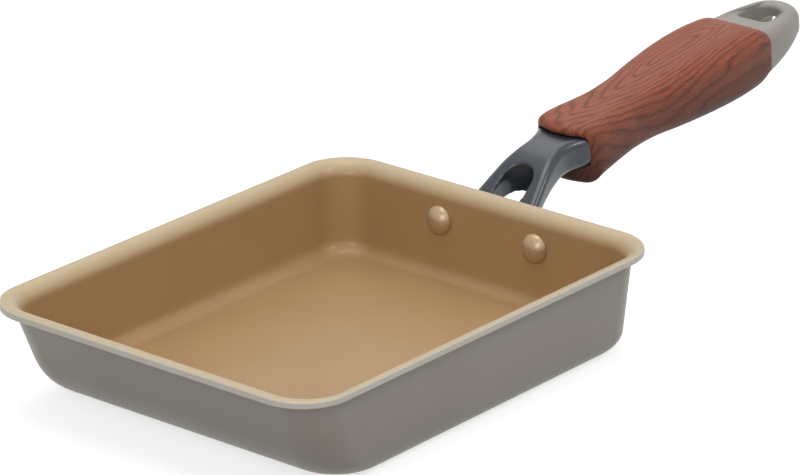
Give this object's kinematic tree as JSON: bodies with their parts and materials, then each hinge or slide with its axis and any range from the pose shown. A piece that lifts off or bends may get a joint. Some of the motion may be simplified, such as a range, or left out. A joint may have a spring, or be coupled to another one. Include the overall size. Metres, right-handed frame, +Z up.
{
  "type": "rectangular omelette pan",
  "caption": "Shallow rectangular omelette pan with rolled lip, sloped far wall, riveted fork arm, wood-look grip and hanging loop.",
  "frame": {"origin": "middle of the rim's outline, on the surface that the pan rests on", "axes": "+X from the pan to its handle, +Z up, +Y to the left of somebody who looks along +X"},
  "size_m": [0.3721, 0.15, 0.0679],
  "materials": {
    "pan_coating": "satin non-stick coating, greige outside and champagne gold inside",
    "base_steel": "fine ground",
    "rivet_metal": "satin, coated with the cooking surface",
    "arm_enamel": "satin baked paint over a casting",
    "grip_wood_look": "moulded resin with a printed wood grain",
    "cap_plastic": "smooth moulded resin",
    "screw_steel": "bright zinc plated"
  },
  "bodies": {
    "root": {"pan_body": "pan_coating", "base_plate": "base_steel", "rivet_left": "rivet_metal", "rivet_right": "rivet_metal", "handle_arm": "arm_enamel", "grip": "grip_wood_look", "end_cap": "cap_plastic", "grip_screw": "screw_steel", "spring_washer": "screw_steel", "flat_washer": "screw_steel"}
  },
  "joints": []
}
